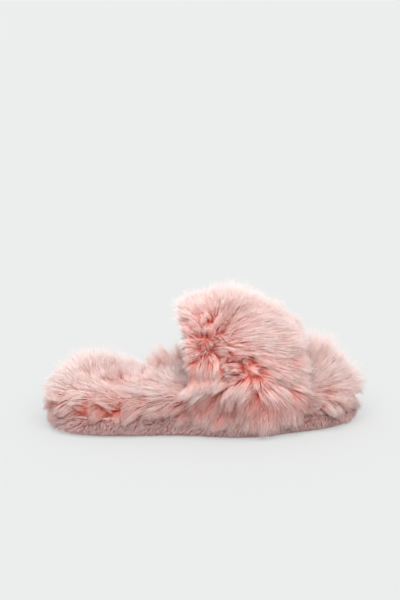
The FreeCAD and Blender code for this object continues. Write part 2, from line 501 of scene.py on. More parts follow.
class Graph:
    """Shorthand for building a geometry node tree."""

    def __init__(self, tree: bpy.types.NodeTree) -> None:
        """Keeps the tree. Args: tree: the tree to build in."""
        self.tree = tree

    def node(self, kind: str, inputs: dict | None = None, **settings: object) -> bpy.types.Node:
        """Adds a node.

        Args:
            kind: the node's type name.
            inputs: socket names or numbers, and what each gets: a socket to link, or a value.
            settings: the node's own properties.

        Returns:
            The node.
        """
        made = self.tree.nodes.new(kind)
        for key, value in settings.items():
            setattr(made, key, value)
        for key, value in (inputs or {}).items():
            self.feed(made.inputs[key], value)
        return made

    def feed(self, socket: bpy.types.NodeSocket, value: object) -> None:
        """Links a socket to an input, or sets the input's value. Args: socket is the input, and value."""
        if isinstance(value, bpy.types.NodeSocket):
            self.tree.links.new(value, socket)
        else:
            socket.default_value = value

    def chosen(self, kind: str, inputs: dict, **settings: object) -> bpy.types.NodeSocket:
        """Adds a node that has several sockets of one name, of which one is in use.

        Args:
            kind: the node's type name.
            inputs: socket names, and what each gets.
            settings: the node's own properties.

        Returns:
            Its output in use.
        """
        made = self.node(kind, **settings)
        for key, value in inputs.items():
            self.feed(next(s for s in made.inputs if s.name == key and s.enabled), value)
        return next(s for s in made.outputs if s.enabled)

    def math(self, operation: str, a: object, b: object = 0.0) -> bpy.types.NodeSocket:
        """One sum on numbers. Args: operation, a and b. Returns: its result."""
        return self.node("ShaderNodeMath", {0: a, 1: b}, operation=operation).outputs[0]

    def vector(self, operation: str, a: object, b: object = (0, 0, 0)) -> bpy.types.NodeSocket:
        """One sum on vectors. Args: operation, a and b. Returns: its result."""
        return self.node("ShaderNodeVectorMath", {0: a, 1: b}, operation=operation).outputs[0]

    def scaled(self, a: object, factor: object) -> bpy.types.NodeSocket:
        """A vector times a number. Args: a and factor. Returns: their product."""
        return self.node("ShaderNodeVectorMath", {0: a, "Scale": factor}, operation="SCALE").outputs[0]

    def added(self, *vectors: object) -> bpy.types.NodeSocket:
        """The sum of several vectors. Args: vectors. Returns: their sum."""
        total = vectors[0]
        for other in vectors[1:]:
            total = self.vector("ADD", total, other)
        return total

    def blend(self, a: object, b: object, factor: object) -> bpy.types.NodeSocket:
        """A vector between a at 0 and b at 1. Args: a, b and factor. Returns: the vector."""
        return self.added(a, self.scaled(self.vector("SUBTRACT", b, a), factor))

    def read(self, name: str, kind: str = "FLOAT_VECTOR") -> bpy.types.NodeSocket:
        """A named attribute. Args: name and kind. Returns: its value."""
        return self.node("GeometryNodeInputNamedAttribute", {"Name": name}, data_type=kind).outputs[0]

    def store(
        self, geometry: object, name: str, value: object, kind: str = "FLOAT_VECTOR", domain: str = "POINT"
    ) -> bpy.types.NodeSocket:
        """Stores a named attribute. Args: geometry, name, value, kind and domain. Returns: the geometry."""
        return self.node(
            "GeometryNodeStoreNamedAttribute",
            {"Geometry": geometry, "Name": name, "Value": value},
            data_type=kind,
            domain=domain,
        ).outputs[0]

    def random(self, low: object, high: object, seed: object, **more: object) -> bpy.types.NodeSocket:
        """A random number for each element. Args: low, high, seed and more inputs. Returns: the number."""
        inputs = {"Min": low, "Max": high, **more, "Seed": seed}
        return self.chosen("FunctionNodeRandomValue", inputs, data_type="FLOAT")

    def random_vector(self, reach: float, seed: object) -> bpy.types.NodeSocket:
        """A random vector within reach each way. Args: reach and seed. Returns: the vector."""
        inputs = {"Min": (-reach,) * 3, "Max": (reach,) * 3, "Seed": seed}
        return self.chosen("FunctionNodeRandomValue", inputs, data_type="FLOAT_VECTOR")


FUR_INPUTS: dict[str, tuple[str, object]] = {
    "Density": ("NodeSocketFloat", 1.0e6),
    "Lock Spacing": ("NodeSocketFloat", 0.009),
    "Tuft Spacing": ("NodeSocketFloat", 0.0035),
    "Lock Pull": ("NodeSocketFloat", 0.5),
    "Tuft Pull": ("NodeSocketFloat", 0.7),
    "Lock Stray": ("NodeSocketFloat", 0.35),
    "Tuft Stray": ("NodeSocketFloat", 0.3),
    "Hair Stray": ("NodeSocketFloat", 0.2),
    "Curl": ("NodeSocketFloat", 0.08),
    "Droop": ("NodeSocketFloat", 0.1),
    "Radius": ("NodeSocketFloat", 0.00022),
    "Segments": ("NodeSocketInt", 3),
    "Short": ("NodeSocketFloat", 0.72),
    "Tone Spread": ("NodeSocketFloat", 0.12),
    "Tuft Tone": ("NodeSocketFloat", 0.38),
    "Tuft Length": ("NodeSocketFloat", 0.1),
    "Seed": ("NodeSocketInt", 1),
    "Material": ("NodeSocketMaterial", None),
}


class FurTree:
    """The node tree that grows hair on a backing, in tufts that lean together into locks."""

    GUIDES_TRIED = 2.5      # guide points tried in each square of their spacing
    LOWER = 0.45            # share of a hair's length up to its middle point
    UPPER = 0.55            # and from there to its tip
    LOWER_LIFT = 1.7        # how much lift counts against lay, up to the middle point
    UPPER_LIFT = 0.6
    MIDDLE_PULL = 0.3       # a guide pulls the middle by this share of its pull on the tip
    LONGEST = 1.04          # the largest share of the pile's length that a hair gets
    TAPER = 0.88            # share of its thickness that a hair has lost at its tip
    TAPER_POWER = 1.6
    MAP_MARGIN = 0.01       # the strands' map stays this far inside its square
    MAP_TONES = 0.92        # width of the map's span of tones
    MAP_ROUND = 0.05        # width that going round a strand takes
    MAP_LENGTH = 0.98       # height that going up a strand takes

    def __init__(self) -> None:
        """Builds the tree."""
        self.tree = bpy.data.node_groups.new("fur_coat", "GeometryNodeTree")
        face = self.tree.interface
        face.new_socket("Geometry", in_out="INPUT", socket_type="NodeSocketGeometry")
        for name, (kind, value) in FUR_INPUTS.items():
            socket = face.new_socket(name, in_out="INPUT", socket_type=kind)
            if value is not None:
                socket.default_value = value
        face.new_socket("Geometry", in_out="OUTPUT", socket_type="NodeSocketGeometry")
        self.graph = Graph(self.tree)
        self.inputs = self.graph.node("NodeGroupInput").outputs
        self._build()

    def _curve_of(self, points: object, normal: object, stray: object, seed: int) -> object:
        """Gives each point its hair's middle and tip.

        Args:
            points: the point geometry.
            normal: the backing's normal at each point.
            stray: how far the direction strays at random.
            seed: added to the coat's own seed.

        Returns:
            The points, with the attributes n, middle and tip.
        """
        g, ins = self.graph, self.inputs
        points = g.store(points, "n", normal)
        n, pile, lift = g.read("n"), g.read("pile", "FLOAT"), g.read("lift", "FLOAT")
        noise = g.random_vector(1.0, g.math("ADD", ins["Seed"], float(seed)))
        curl = g.random_vector(1.0, g.math("ADD", ins["Seed"], float(seed + 5)))
        flow = g.added(g.read("comb"), g.scaled(noise, stray))
        rise = g.vector("NORMALIZE", g.added(g.scaled(n, g.math("MULTIPLY", lift, self.LOWER_LIFT)), flow))
        root = g.node("GeometryNodeInputPosition").outputs[0]
        middle = g.added(root, g.scaled(rise, g.math("MULTIPLY", pile, self.LOWER)))
        middle = g.added(middle, g.scaled(curl, g.math("MULTIPLY", pile, ins["Curl"])))
        fall = g.node("ShaderNodeCombineXYZ", {"Z": g.math("MULTIPLY", ins["Droop"], -1.0)}).outputs[0]
        upright = g.scaled(n, g.math("MULTIPLY", lift, self.UPPER_LIFT))
        lean = g.vector("NORMALIZE", g.added(upright, flow, fall))
        tip = g.added(middle, g.scaled(lean, g.math("MULTIPLY", pile, self.UPPER)))
        return g.store(g.store(points, "middle", middle), "tip", tip)

    def _guides(self, spacing: object, stray: object, seed: int) -> object:
        """Evenly scattered guide points with their curves.

        Args:
            spacing: the least distance between guides.
            stray: how far their directions stray.
            seed: added to the coat's own seed.

        Returns:
            The guides' point geometry.
        """
        g, ins = self.graph, self.inputs
        most = g.math("DIVIDE", self.GUIDES_TRIED, g.math("MULTIPLY", spacing, spacing))
        spread = g.node(
            "GeometryNodeDistributePointsOnFaces",
            {"Mesh": ins["Geometry"], "Distance Min": spacing, "Density Max": most, "Seed": seed},
            distribute_method="POISSON",
        )
        return self._curve_of(spread.outputs["Points"], spread.outputs["Normal"], stray, seed)

    def _pulled(self, points: object, guides: object, pull: object) -> object:
        """Pulls each curve towards the curve of the nearest guide.

        Args:
            points: the points to pull.
            guides: the guides' points.
            pull: 0 leaves the tips where they are, and 1 brings them to the guide's tip.

        Returns:
            The points.
        """
        g = self.graph
        nearest = g.node("GeometryNodeSampleNearest", {"Geometry": guides}, domain="POINT").outputs[0]
        pull = g.math("MULTIPLY", pull, g.read("matting", "FLOAT"))
        drawn = {}
        for name, force in (("middle", g.math("MULTIPLY", pull, self.MIDDLE_PULL)), ("tip", pull)):
            inputs = {"Geometry": guides, "Value": g.read(name), "Index": nearest}
            found = g.chosen("GeometryNodeSampleIndex", inputs, data_type="FLOAT_VECTOR", domain="POINT")
            drawn[name] = g.blend(g.read(name), found, force)
        points = g.store(points, "tuft_shade", g.random(-1.0, 1.0, 91, ID=nearest), "FLOAT")
        points = g.store(points, "new_tip", drawn["tip"])
        points = g.store(points, "middle", drawn["middle"])
        return g.store(points, "tip", g.read("new_tip"))

    def _build(self) -> None:
        """Builds the whole tree."""
        g, ins = self.graph, self.inputs
        locks = self._guides(ins["Lock Spacing"], ins["Lock Stray"], 11)
        tufts = self._guides(ins["Tuft Spacing"], ins["Tuft Stray"], 23)
        tufts = self._pulled(tufts, locks, ins["Lock Pull"])
        spread = g.node(
            "GeometryNodeDistributePointsOnFaces",
            {
                "Mesh": ins["Geometry"],
                "Density": g.math("MULTIPLY", ins["Density"], g.read("region", "FLOAT")),
                "Seed": ins["Seed"],
            },
            distribute_method="RANDOM",
        )
        hairs = self._curve_of(spread.outputs["Points"], spread.outputs["Normal"], ins["Hair Stray"], 37)
        hairs = self._pulled(hairs, tufts, ins["Tuft Pull"])
        root = g.node("GeometryNodeInputPosition").outputs[0]
        hairs = g.store(hairs, "root", root)
        hairs = g.store(hairs, "share", g.random(ins["Short"], self.LONGEST, 53), "FLOAT")
        hairs = g.store(hairs, "shade", g.random(-1.0, 1.0, 71), "FLOAT")
        strand = self._strand()
        placed = g.node("GeometryNodeInstanceOnPoints", {"Points": hairs, "Instance": strand}).outputs[0]
        curves = g.node("GeometryNodeRealizeInstances", {"Geometry": placed}).outputs[0]
        self._finish(curves)

    def _strand(self) -> object:
        """One straight strand, with its share of the length stored as t.

        Returns:
            The curve.
        """
        g, ins = self.graph, self.inputs
        line = g.node("GeometryNodeCurvePrimitiveLine", {"Start": (0, 0, 0), "End": (0, 0, 1)}).outputs[0]
        count = g.math("ADD", ins["Segments"], 1.0)
        cut = g.node("GeometryNodeResampleCurve", {"Curve": line, "Count": count})
        return g.store(cut.outputs[0], "t", g.node("GeometryNodeSplineParameter").outputs["Factor"], "FLOAT")

    def _finish(self, curves: object) -> None:
        """Bends the strands, gives them their thickness and map, and ends the tree.

        Args:
            curves: the straight strands, one on each root.
        """
        g, ins = self.graph, self.inputs
        t = g.read("t", "FLOAT")
        back = g.math("SUBTRACT", 1.0, t)
        root, tuft = g.read("root"), g.read("tuft_shade", "FLOAT")
        shorter = g.math("SUBTRACT", 1.0, g.math("MULTIPLY", tuft, ins["Tuft Length"]))
        share = g.math("MULTIPLY", g.read("share", "FLOAT"), shorter)
        middle = g.blend(root, g.read("middle"), share)
        tip = g.blend(root, g.read("tip"), share)
        bent = g.added(
            g.scaled(root, g.math("MULTIPLY", back, back)),
            g.scaled(middle, g.math("MULTIPLY", g.math("MULTIPLY", back, t), 2.0)),
            g.scaled(tip, g.math("MULTIPLY", t, t)),
        )
        apart = g.node("ShaderNodeSeparateXYZ", {0: bent}).outputs
        passed = g.math("MULTIPLY", g.math("MINIMUM", apart["Z"], 0.0), -FLOOR_PRESS)
        height = g.math("MAXIMUM", apart["Z"], g.math("ADD", FLOOR_GAP, passed))
        bent = g.node("ShaderNodeCombineXYZ", {"X": apart["X"], "Y": apart["Y"], "Z": height}).outputs[0]
        curves = g.node("GeometryNodeSetPosition", {"Geometry": curves, "Position": bent}).outputs[0]
        taper = g.math("SUBTRACT", 1.0, g.math("MULTIPLY", g.math("POWER", t, self.TAPER_POWER), self.TAPER))
        radius = g.math("MULTIPLY", ins["Radius"], taper)
        curves = g.node("GeometryNodeSetCurveRadius", {"Curve": curves, "Radius": radius}).outputs[0]
        profile = g.node("GeometryNodeCurvePrimitiveCircle", {"Resolution": 3, "Radius": 1.0}).outputs[0]
        ring = g.node("GeometryNodeSplineParameter").outputs["Factor"]
        profile = g.store(profile, "ring", ring, "FLOAT")
        inputs = {"Curve": curves, "Profile Curve": profile, "Fill Caps": True}
        to_mesh = g.node("GeometryNodeCurveToMesh", inputs)
        if "Scale" in to_mesh.inputs:
            self.tree.links.new(g.node("GeometryNodeInputRadius").outputs[0], to_mesh.inputs["Scale"])
        mesh = g.store(to_mesh.outputs[0], UV_MAP, self._map(), "FLOAT2", "CORNER")
        smooth = g.node("GeometryNodeSetShadeSmooth", {"Geometry": mesh}).outputs[0]
        real = g.node("GeometryNodeRealizeInstances", {"Geometry": smooth}).outputs[0]
        done = g.node("GeometryNodeSetMaterial", {"Geometry": real, "Material": ins["Material"]}).outputs[0]
        g.node("NodeGroupOutput", {0: done})

    def _map(self) -> object:
        """Each corner's place on the strands' map: across by tone, and up by how far up the strand.

        Returns:
            The place.
        """
        g, ins = self.graph, self.inputs
        tone = g.read("tone", "FLOAT")
        for shade, spread in (("shade", "Tone Spread"), ("tuft_shade", "Tuft Tone")):
            tone = g.math("ADD", tone, g.math("MULTIPLY", g.read(shade, "FLOAT"), ins[spread]))
        tone = g.math("MINIMUM", g.math("MAXIMUM", tone, 0.0), 1.0)
        around = g.math("MULTIPLY", g.read("ring", "FLOAT"), self.MAP_ROUND)
        across = g.math("ADD", g.math("MULTIPLY", tone, self.MAP_TONES), around)
        up = g.math("MULTIPLY", g.read("t", "FLOAT"), g.read("reach", "FLOAT"))
        up = g.math("ADD", g.math("MULTIPLY", up, self.MAP_LENGTH), self.MAP_MARGIN)
        across = g.math("ADD", across, self.MAP_MARGIN)
        return g.node("ShaderNodeCombineXYZ", {"X": across, "Y": up}).outputs[0]


def declare(piece: bpy.types.Object, slot: str, *nodes: str) -> None:
    """Ties a finished piece to the frame and reports it.

    Args:
        piece: the piece.
        slot: the record's material slot.
        nodes: the CAD nodes it stands for.
    """
    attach(piece, BODY)
    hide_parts(*nodes)
    LOG.info("%s: %d faces, slot %s", piece.name, len(piece.data.polygons), slot)


@dataclass
class FurCoat:
    """How one fabric's pile grows. Sizes are in metres, and density is in hairs a square metre."""

    density: float
    settings: dict[str, float]

    def grow(
        self, backing: bpy.types.Object, name: str, material: bpy.types.Material, tree: FurTree, seed: int
    ) -> bpy.types.Object:
        """Grows the hair on a backing that has the fields comb, pile, tone and region.

        Args:
            backing: the object to grow it on, which isn't changed.
            name: the new piece's name.
            material: the hair's material.
            tree: the node tree.
            seed: the coat's random seed.

        Returns:
            The new piece.
        """
        modifier = backing.modifiers.new("fur", "NODES")
        modifier.node_group = tree.tree
        values = {"Density": self.density, "Seed": seed, "Material": material, **self.settings}
        for item in tree.tree.interface.items_tree:
            if item.in_out == "INPUT" and item.name in values:
                modifier[item.identifier] = values[item.name]
        depsgraph = bpy.context.evaluated_depsgraph_get()
        mesh = bpy.data.meshes.new_from_object(backing.evaluated_get(depsgraph), depsgraph=depsgraph)
        backing.modifiers.remove(modifier)
        mesh.name = name
        for layer in [a.name for a in mesh.attributes]:
            found = mesh.attributes.get(layer)
            kept = layer.startswith(".") or layer in (UV_MAP, "sharp_face", "material_index")
            if found and not found.is_required and not kept:
                mesh.attributes.remove(found)
        piece = bpy.data.objects.new(name, mesh)
        bpy.context.scene.collection.objects.link(piece)
        return piece

    def cover(
        self,
        form: Form,
        name: str,
        ties: tuple[str, str],
        material: bpy.types.Material,
        tree: FurTree,
        seed: int,
    ) -> None:
        """Args:
            form: the backing's form.
            name: the new piece's name.
            ties: its material slot and the CAD node it stands for.
            material: the hair's material.
            tree: the node tree.
            seed: the coat's random seed.
        """
        source = form.to_object("fur_source")
        piece = self.grow(source, name, material, tree, seed)
        bpy.data.objects.remove(source)
        declare(piece, *ties)


def back_with_cloth(form: Form, name: str, cloth: PlainFinish, slot: str, *nodes: str) -> bpy.types.Object:
    """Args:
        form: its form.
        name: the new piece's name.
        cloth: its finish.
        slot: its material slot.
        nodes: the CAD nodes it stands for.

    Returns:
        The new piece.
    """
    made = Form(form.points, form.faces).to_object(name)
    made.data.materials.append(cloth.material())
    declare(made, slot, *nodes)
    return made


# ---------------------------------------------------------------- combing


class Face(Enum):
    """The part of a furry piece that a comb stroke lies on."""

    OUTER = -1
    TOP = 0
    INNER = 1


@dataclass(frozen=True)
class Stroke:
    """One stroke of the comb. Places and lengths are in millimetres.

    On the two sides the place and the lay are X and Z, and on the top they are X and Y.
    """

    face: Face
    place: tuple[float, float]
    lay: tuple[float, float]
    lift: float
    length: float
    show: float = 1.0
    reach: float = 12.0

    def direction(self) -> Array:
        """The lay as a vector in space."""
        along, other = self.lay
        return np.array([along, other, 0.0]) if self.face is Face.TOP else np.array([along, 0.0, other])

    def root(self, points: Array) -> Array:
        """The backing's point that the stroke starts from.

        Args:
            points: the backing's outer points, in millimetres.

        Returns:
            The nearest of them, seen from the stroke's own side.
        """
        other = 1 if self.face is Face.TOP else 2
        far = np.hypot(points[:, 0] - self.place[0], points[:, other] - self.place[1])
        if self.face is Face.TOP:
            far = far - TOP_FIRST * points[:, 2]
        else:
            far = far + OWN_SIDE * (points[:, 1] * self.face.value < 0)
        return points[int(np.argmin(far))]


def strokes(face: Face, *rows: tuple[float, ...]) -> list[Stroke]:
    """Strokes on one face.

    Args:
        face: the face.
        rows: place (2 numbers), lay (2), lift, length and, where they differ from the usual, show and reach.

    Returns:
        The strokes.
    """
    return [Stroke(face, row[:2], row[2:4], *row[4:]) for row in rows]


WIDE_WAVE = 26 * MM         # the lay wanders in wide waves,
FINE_WAVE = 9 * MM          # and half as much in fine ones,
LENGTH_WAVE = 14 * MM       # and the pile's length in these
CURL_WAVE = 7 * MM          # curls and whorls turn the lay in waves of this size
OWN_SIDE = 500.0            # millimetres added to points on the other side, so that none is nearest
TOP_FIRST = 0.5             # how much higher points come first, for strokes on the top
FAR_SHARE = 1e-3            # strokes far away still count a little, so that every point has a lay


def groom(form: Form, marks: list[Stroke], outer: Array, noise: float, seed: int) -> None:
    """Lays the pile of a backing by its comb strokes.

    Args:
        form: the backing, which gets the fields comb, lift, pile and reach.
        marks: the strokes.
        outer: which points carry pile.
        noise: how far the lay wanders.
        seed: the random seed of the wandering.
    """
    p, n = form.points / MM, form.normals()
    total = np.zeros(len(p))
    comb = np.zeros((len(p), 3))
    rest = np.zeros((len(p), 3))
    for mark in marks:
        far = np.linalg.norm(p - mark.root(p[outer]), axis=1)
        weight = np.exp(-((far / mark.reach) ** 2)) + FAR_SHARE / (1 + (far / mark.reach) ** 4)
        total += weight
        comb += np.outer(weight, mark.direction())
        rest += np.outer(weight, [mark.lift, mark.length, mark.show])
    comb /= total[:, None]
    rest /= total[:, None]
    comb -= n * np.sum(comb * n, axis=1)[:, None]
    fine = wander(form.points, FINE_WAVE, seed + 1) * noise * 0.5
    comb += wander(form.points, WIDE_WAVE, seed) * noise + fine
    form.fields["comb"] = comb
    form.fields["lift"] = rest[:, 0]
    form.fields["pile"] = rest[:, 1] * MM * (1 + 0.1 * wander(form.points, LENGTH_WAVE, seed + 2)[:, 0])
    form.fields["reach"] = rest[:, 2]


FOOTBED_LOW = (
    (-30, 22, -0.6, -0.7, 0.35, 20), (-48, 22, -0.5, -0.8, 0.35, 20), (-62, 24, 0.3, -0.9, 0.4, 20, 0.85),
    (-76, 24, -0.5, -0.8, 0.4, 22), (-88, 23, 0.2, -0.95, 0.4, 20, 0.8), (-100, 24, -0.5, -0.7, 0.45, 20),
    (-112, 22, -0.6, -0.5, 0.4, 17, 0.9), (-124, 20, -0.6, -0.4, 0.7, 25),
    (84, 22, 0.0, -0.9, 0.4, 20), (92, 26, 0.0, 0.0, 0.7, 10, 0.45, 6), (101, 22, 0.6, -0.6, 0.45, 24),
    (112, 22, 0.5, -0.65, 0.4, 18), (124, 20, 0.5, -0.4, 0.6, 22),
)

FOOTBED_OUTER = strokes(
    Face.OUTER,
    *FOOTBED_LOW,
    (-30, 30, -0.9, -0.35, 0.42, 31), (-50, 30, -0.95, -0.1, 0.42, 32), (-70, 30, -0.95, 0.0, 0.42, 32),
    (-90, 30, -0.95, 0.0, 0.45, 28), (-110, 30, -0.8, 0.05, 0.5, 18), (-124, 28, -0.6, -0.5, 0.5, 16),
    (88, 31, 0.85, 0.05, 0.55, 28), (105, 30, 0.8, -0.05, 0.5, 25), (118, 28, 0.4, -0.2, 0.55, 17),
)

FOOTBED_INNER = strokes(
    Face.INNER,
    *FOOTBED_LOW,
    (-30, 31, -0.2, 1.0, 0.5, 37, 0.62, 10), (-50, 31, -0.3, 0.6, 0.9, 22), (-70, 31, -0.2, 0.7, 0.9, 28),
    (-90, 31, -0.2, 0.9, 0.8, 37), (-108, 31, -0.3, 0.8, 0.8, 31),
    (0, 31, -0.2, 0.3, 0.6, 14), (25, 31, 0.0, 0.3, 0.6, 12), (50, 31, 0.0, 0.3, 0.6, 12),
    (68, 31, 0.0, 0.6, 0.8, 20),
    (84, 31, 0.0, 0.9, 1.0, 42), (98, 31, 0.1, 0.9, 1.0, 42), (112, 30, 0.5, 0.2, 0.6, 20),
)

FOOTBED_TOP = strokes(
    Face.TOP,
    (-120, 0, -0.7, 0.0, 0.5, 16), (-110, 0, -0.4, 0.0, 0.9, 30), (-100, 0, -0.15, 0.0, 1.1, 36),
    (-100, 26, -0.1, 0.05, 1.2, 40),
    (-100, -26, -0.6, -0.25, 0.7, 27), (-82, 0, -0.15, 0.0, 1.1, 30), (-82, 26, 0.0, 0.05, 1.2, 33),
    (-82, -26, -0.7, -0.25, 0.6, 27), (-56, 0, -0.2, 0.0, 1.0, 18), (-56, 26, 0.1, 0.1, 1.0, 19),
    (-56, -26, -0.7, -0.3, 0.6, 25), (-35, 0, 0.0, 0.0, 1.0, 22), (-46, 24, -0.1, 0.0, 1.0, 22),
    (-32, 24, -0.3, 0.0, 1.3, 47, 0.62, 10), (-22, 24, -0.2, 0.0, 1.4, 48, 0.62),
    (-32, -28, -0.7, -0.35, 0.6, 26), (0, 0, 0.0, 0.0, 0.8, 16), (40, 0, 0.0, 0.0, 0.8, 16),
    (0, 30, 0.0, 0.0, 0.7, 12), (30, 30, 0.0, 0.0, 0.7, 12), (30, -30, 0.0, 0.0, 0.7, 12),
    (0, -30, 0.0, 0.0, 0.7, 14),
    (70, 0, 0.1, 0.0, 1.0, 30), (88, 22, 0.05, 0.05, 1.3, 45, 0.85), (88, 0, 0.05, 0.0, 1.3, 45, 0.85),
    (90, -24, 0.2, -0.25, 1.0, 36), (104, 20, 0.1, 0.05, 1.3, 50, 0.9), (104, 0, 0.1, 0.0, 1.3, 49, 0.9),
    (106, -20, 0.4, -0.25, 0.9, 29), (113, 0, 0.4, 0.0, 0.9, 35), (123, 0, 0.7, 0.0, 0.4, 13),
    (-68, -8, 0.0, 0.0, 1.0, 12, 0.5, 6), (-42, 4, 0.0, 0.0, 1.0, 12, 0.5, 6),
    (-96, -10, 0.0, 0.0, 1.0, 17, 0.6, 6),
    (-78, -14, 0.0, 0.0, 1.0, 17, 0.6, 5),
)

BAND_LOW = (
    (22, 70, -0.8, -0.05, 0.45, 20, 0.85, 8), (11, 65, -0.6, -0.3, 0.45, 21, 0.9, 8),
    (30, 66, -0.75, -0.2, 0.5, 18, 0.7, 7),
    (30, 64, -0.2, 0.0, 0.8, 17, 0.6, 5), (38, 63, 0.0, 0.0, 0.9, 16, 0.5, 5),
    (46, 64, 0.3, -0.1, 0.8, 17, 0.6, 5),
    (45, 72, 0.6, 0.4, 0.6, 18, 0.7, 7), (52, 64, 0.8, -0.3, 0.5, 22, 0.85, 8),
    (50, 55, 0.55, -0.65, 0.5, 23, 0.9, 7), (62, 52, 0.6, -0.65, 0.55, 24), (73, 46, 0.8, -0.35, 0.5, 27),
    (40, 54, -0.7, -0.5, 0.8, 28, 1.0, 7), (28, 55, -0.95, -0.4, 0.8, 31, 1.0, 7),
    (15, 55, -0.95, -0.4, 0.8, 31, 1.0, 7),
    (2, 53, -0.95, -0.45, 0.8, 31, 1.0, 7), (-8, 50, -0.9, -0.45, 0.75, 30, 1.0, 8),
    (17, 62, -0.5, -0.2, 0.6, 14, 0.6, 4),
    (60, 38, -0.1, -0.9, 0.45, 22, 1.0, 8), (44, 40, -0.35, -0.85, 0.35, 21, 1.0, 6),
    (28, 40, -0.4, -0.85, 0.3, 19, 0.9, 6),
    (12, 40, -0.45, -0.8, 0.3, 19, 0.9, 6), (-4, 38, -0.45, -0.8, 0.3, 19, 0.9, 6),
    (60, 30, -0.1, -0.95, 0.3, 20, 1.0, 7), (40, 31, -0.3, -0.9, 0.25, 20, 1.0, 7),
    (20, 31, -0.35, -0.9, 0.25, 20, 1.0, 7),
    (0, 31, -0.4, -0.85, 0.25, 20, 1.0, 7), (-12, 29, -0.45, -0.8, 0.3, 18, 1.0, 8),
    (75, 29, 0.3, -0.9, 0.3, 18, 1.0, 8),
    (65, 20, -0.1, -0.9, 0.25, 12, 1.0, 6), (30, 20, -0.3, -0.9, 0.25, 12, 1.0, 6),
    (0, 20, -0.3, -0.9, 0.25, 12, 1.0, 6),
)

BAND_HIGH = (
    (-7, 92, -0.3, 0.1, 0.8, 17, 0.78, 7), (2, 99, 0.1, 0.3, 0.8, 18, 0.76, 7),
    (0, 86, -0.1, -0.2, 0.8, 17, 0.74, 7),
    (12, 94, 0.4, 0.1, 0.8, 18, 0.76, 7), (4, 93, 0.1, 0.1, 1.0, 18, 0.74, 6),
    (-12, 90, -0.5, 0.1, 0.6, 12, 0.85, 9),
    (-8, 58, -0.1, -0.8, 0.45, 20, 0.9, 9), (3, 65, 0.35, -0.7, 0.45, 20, 0.9, 8),
    (-4, 77, 0.2, -0.4, 0.6, 18, 0.85, 7),
    (8, 80, 0.75, -0.2, 0.6, 20, 0.85, 8), (20, 82, 0.85, -0.1, 0.5, 20, 0.8, 9),
    (24, 94, 0.6, 0.4, 0.6, 21, 0.85, 9),
    (0, 103, -0.1, 0.5, 0.9, 21, 0.9), (-10, 98, -0.6, 0.5, 0.8, 17), (32, 92, 0.7, 0.35, 0.5, 24),
    (32, 80, 0.9, 0.12, 0.45, 24, 0.9),
    (44, 85, 0.8, 0.2, 0.5, 24), (44, 76, 0.9, 0.05, 0.45, 24), (56, 76, 0.8, 0.05, 0.45, 22),
    (58, 66, 0.9, -0.05, 0.45, 24), (70, 66, 0.85, -0.1, 0.4, 17), (72, 56, 0.9, -0.1, 0.45, 23),
)

# The middles of the two whorls on each side of the band: X, Z and reach, in millimetres.
WHORLS = ((3, 93, 13), (38, 65, 9))

BAND_REAR = strokes(
    Face.OUTER,
    (-12, 80, -0.8, 0.0, 0.5, 17, 0.95, 8), (-12, 68, -0.9, -0.1, 0.5, 23, 1.0, 8),
    (-12, 57, -0.9, -0.3, 0.5, 27, 1.0, 8),
) + strokes(
    Face.INNER,
    (-12, 80, -0.1, 0.3, 0.6, 11, 1.0, 8), (-12, 68, -0.1, 0.1, 0.6, 11, 1.0, 8),
    (-12, 57, -0.1, 0.0, 0.6, 11, 1.0, 8),
)

BAND_TOP = strokes(
    Face.TOP,
    (-12, -14, -0.5, -0.1, 1.0, 24), (-12, 14, -0.4, 0.1, 1.0, 23), (2, 0, -0.15, 0.0, 1.1, 22),
    (20, -14, 0.1, -0.1, 1.3, 24), (20, 14, 0.1, 0.1, 1.3, 24), (40, 0, 0.5, 0.0, 0.8, 22),
    (58, 0, 0.7, 0.0, 0.6, 18),
    (72, 0, 0.7, 0.0, 0.5, 15),
)


# ---------------------------------------------------------------- the slipper


# Curls and dimples in the footbed's pile: X, Y, Z and reach, in millimetres.
CURLS = (
    (-93, -13, 34, 8), (-71, -15, 34, 8), (-43, 10, 34, 7), (-52, -12, 34, 6), (-100, -32, 24, 7),
    (-84, -34, 24, 7),
    (-112, -27, 22, 6), (-70, -36, 25, 6), (84, -42, 25, 8), (102, -37, 24, 7),
)


